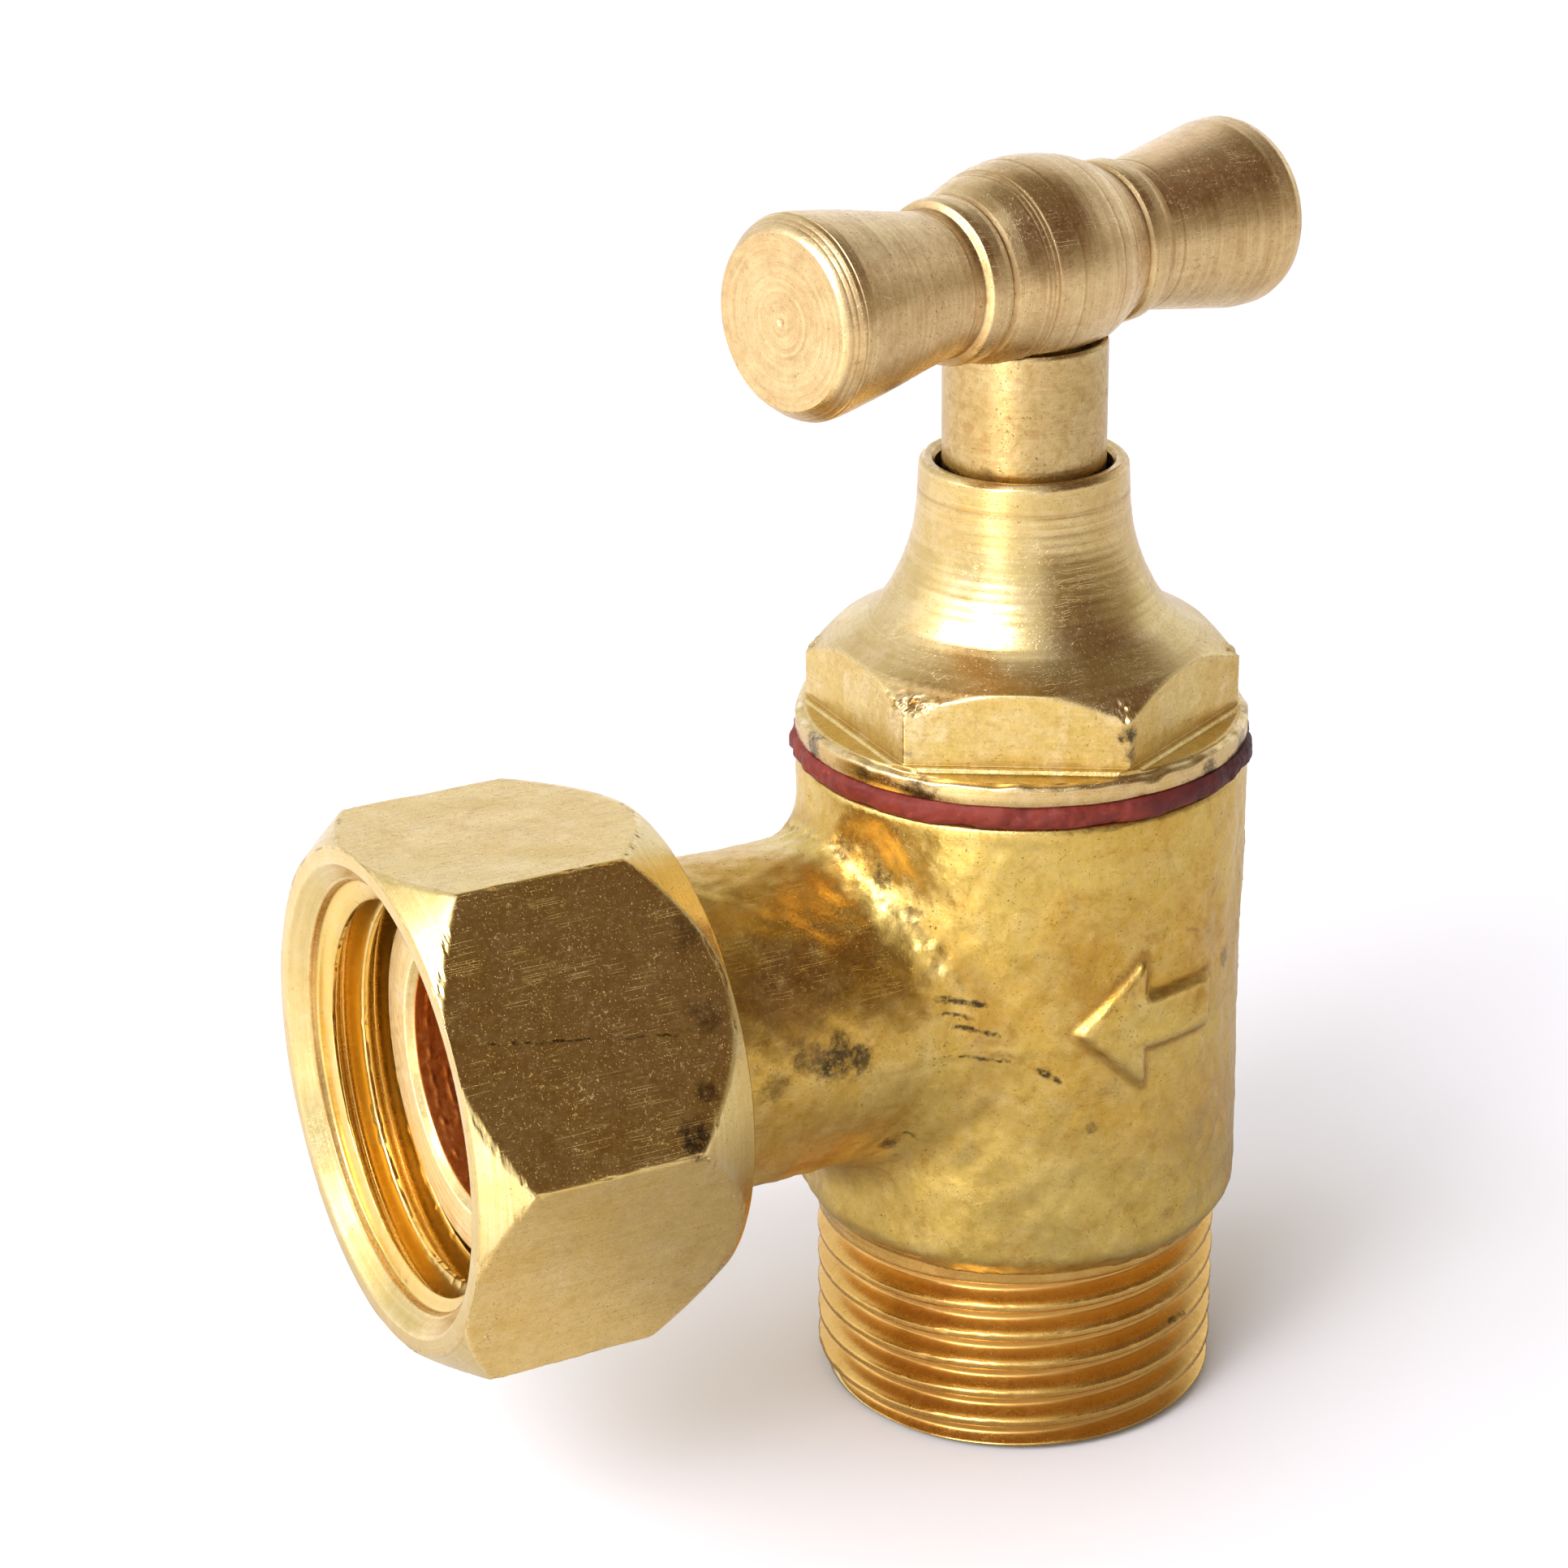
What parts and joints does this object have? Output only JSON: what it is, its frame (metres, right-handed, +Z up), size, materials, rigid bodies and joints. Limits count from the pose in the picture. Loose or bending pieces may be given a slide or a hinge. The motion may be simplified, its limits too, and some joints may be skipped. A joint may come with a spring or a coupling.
{
  "type": "angle stop valve",
  "caption": "Brass angle stop valve with a T-bar handle on a rising spindle, a male pipe thread inlet below and a captive union nut on the side outlet.",
  "frame": {"origin": "centre of the bottom of the bounding box, level with the inlet end face; the vertical valve axis stands 8.0 mm along +X from it", "axes": "+Z up along the valve axis from the inlet end to the T-bar handle; -X out of the side outlet and its union nut"},
  "size_m": [0.0406, 0.0226, 0.0517],
  "materials": {
    "brass_forged": "satin forged skin with small pits",
    "brass_turned": "fine turned",
    "brass_nut": "drawn hexagon bar with turned ends",
    "gasket_fibre": "red fibre, matt",
    "seal_rubber": "matt"
  },
  "bodies": {
    "valve": {"valve_body": "brass_forged", "bonnet": "brass_turned", "bonnet_gasket": "gasket_fibre"},
    "closing_member": {"jumper": "brass_turned", "seat_washer": "seal_rubber", "seat_washer_nut": "brass_turned"},
    "spindle_and_handle": {"spindle": "brass_turned", "spindle_oring_lower": "seal_rubber", "spindle_oring_upper": "seal_rubber", "t_handle": "brass_turned"},
    "union": {"union_nut": "brass_nut"}
  },
  "joints": [
    {"name": "stem_rise", "type": "slide", "parent": "valve", "child": "closing_member", "axis": [0, 0, 1], "range_m": [-0.00401, 0]},
    {"name": "handle_turn", "type": "hinge", "parent": "closing_member", "child": "spindle_and_handle", "pos_m": [0.008, 0, 0.0447], "axis": [0, 0, 1], "range_deg": [-960, 0]},
    {"name": "nut_spin", "type": "hinge", "parent": "valve", "child": "union", "pos_m": [-0.014, 0, 0.0187], "axis": [-1, 0, 0], "continuous": true}
  ],
  "couplings": [
    {"joint": "stem_rise", "follows": "handle_turn", "m_per_rad": 0.00023873}
  ]
}
